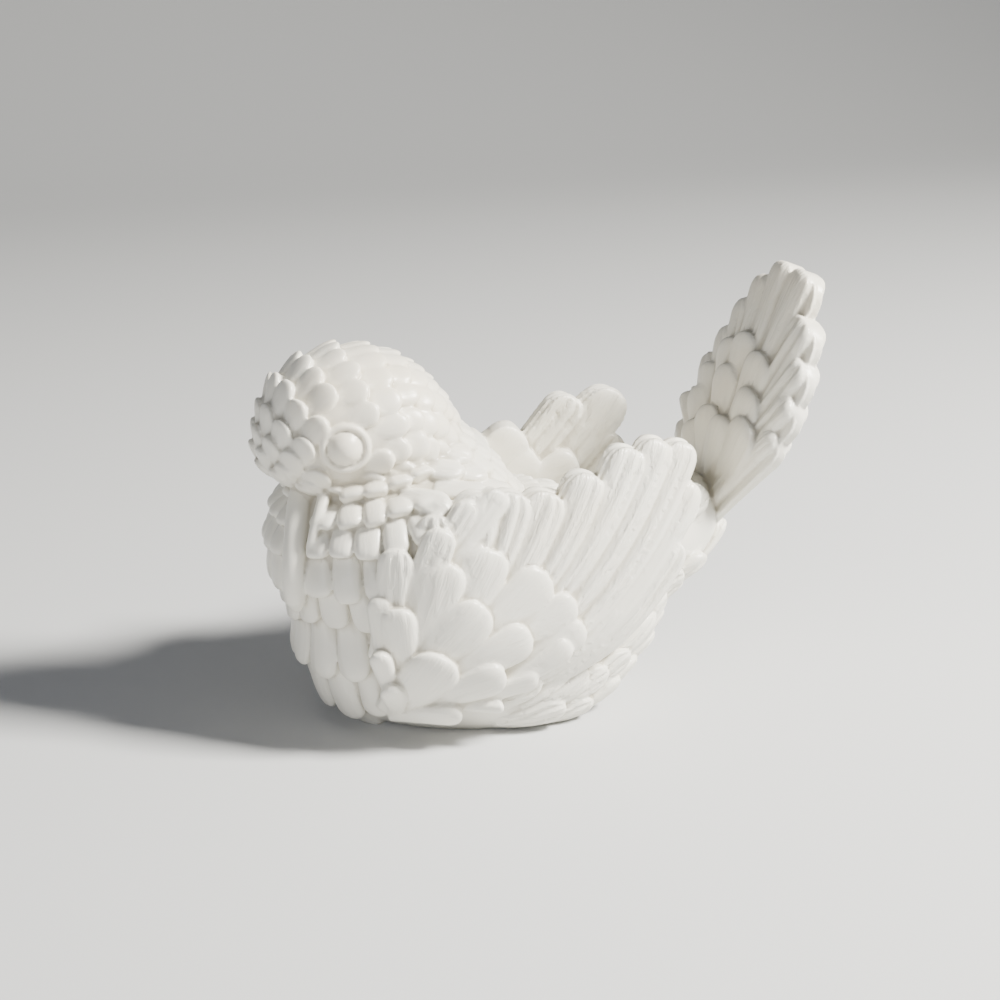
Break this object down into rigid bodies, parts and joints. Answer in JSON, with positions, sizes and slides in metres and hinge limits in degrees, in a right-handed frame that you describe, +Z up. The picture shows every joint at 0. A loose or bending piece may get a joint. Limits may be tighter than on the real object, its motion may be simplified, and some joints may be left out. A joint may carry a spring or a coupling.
{
  "type": "dove figurine",
  "caption": "Small white resin dove at rest, head tucked and bill pressed to the breast, wings raised, tail fanned up, covered in carved feathers, standing on a flat underside.",
  "frame": {"origin": "under the middle of the bounding box, on the ground that the bird stands on", "axes": "+Z up, -X the way the bird faces, +X towards the tail, -Y the bird's left side"},
  "size_m": [0.1402, 0.0778, 0.1026],
  "materials": {
    "resin": "white marble-filled cast resin with a satin gloss, faintly cream on top"
  },
  "bodies": {
    "root": {"dove": "resin"}
  },
  "joints": []
}
